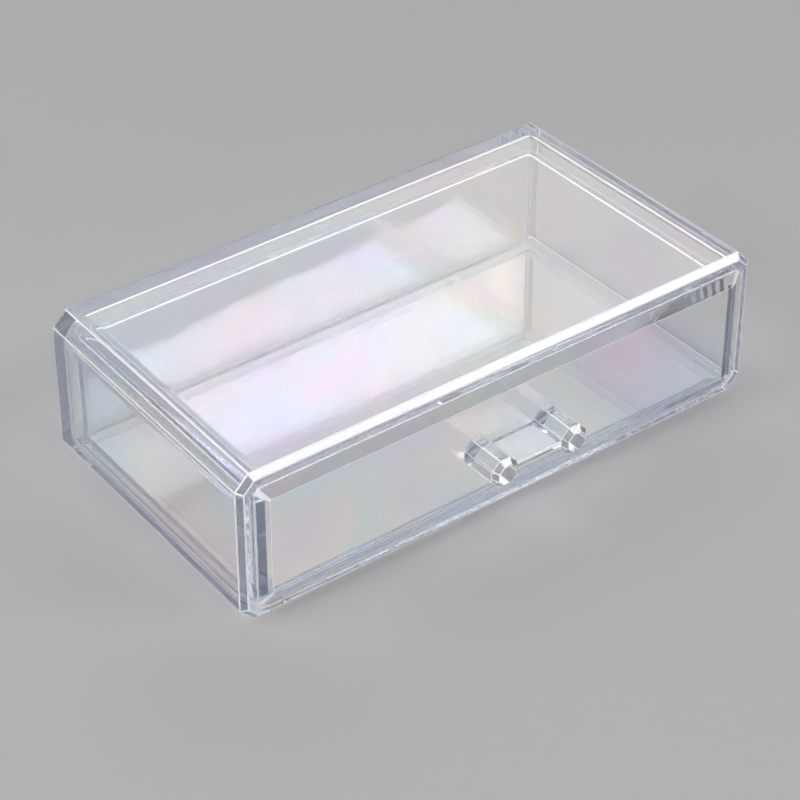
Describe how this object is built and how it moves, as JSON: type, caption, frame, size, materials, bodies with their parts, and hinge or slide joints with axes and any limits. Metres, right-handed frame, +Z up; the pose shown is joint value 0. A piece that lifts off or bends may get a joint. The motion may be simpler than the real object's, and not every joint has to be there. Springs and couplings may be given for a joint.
{
  "type": "makeup storage box",
  "caption": "Low clear plastic sleeve with cut long edges, holding an open sliding tray behind a raised-panel front with a short handle of posts and a web.",
  "frame": {"origin": "under the middle of the whole box, handle included, level with the soles of the feet", "axes": "+X to the right across the width, +Y from the drawer's front to the closed back, +Z up"},
  "size_m": [0.187, 0.114, 0.0523],
  "materials": {
    "case_clear": "clear, polished",
    "drawer_clear": "clear, polished",
    "handle_clear": "clear, polished",
    "foot_clear": "clear, polished"
  },
  "bodies": {
    "case_body": {"case": "case_clear", "foot_front_left": "foot_clear", "foot_front_right": "foot_clear", "foot_back_left": "foot_clear", "foot_back_right": "foot_clear"},
    "drawer": {"drawer_front": "drawer_clear", "drawer_tray": "drawer_clear", "handle": "handle_clear"}
  },
  "joints": [
    {"name": "drawer_slide", "type": "slide", "parent": "case_body", "child": "drawer", "axis": [0, -1, 0], "range_m": [0, 0.075]}
  ]
}
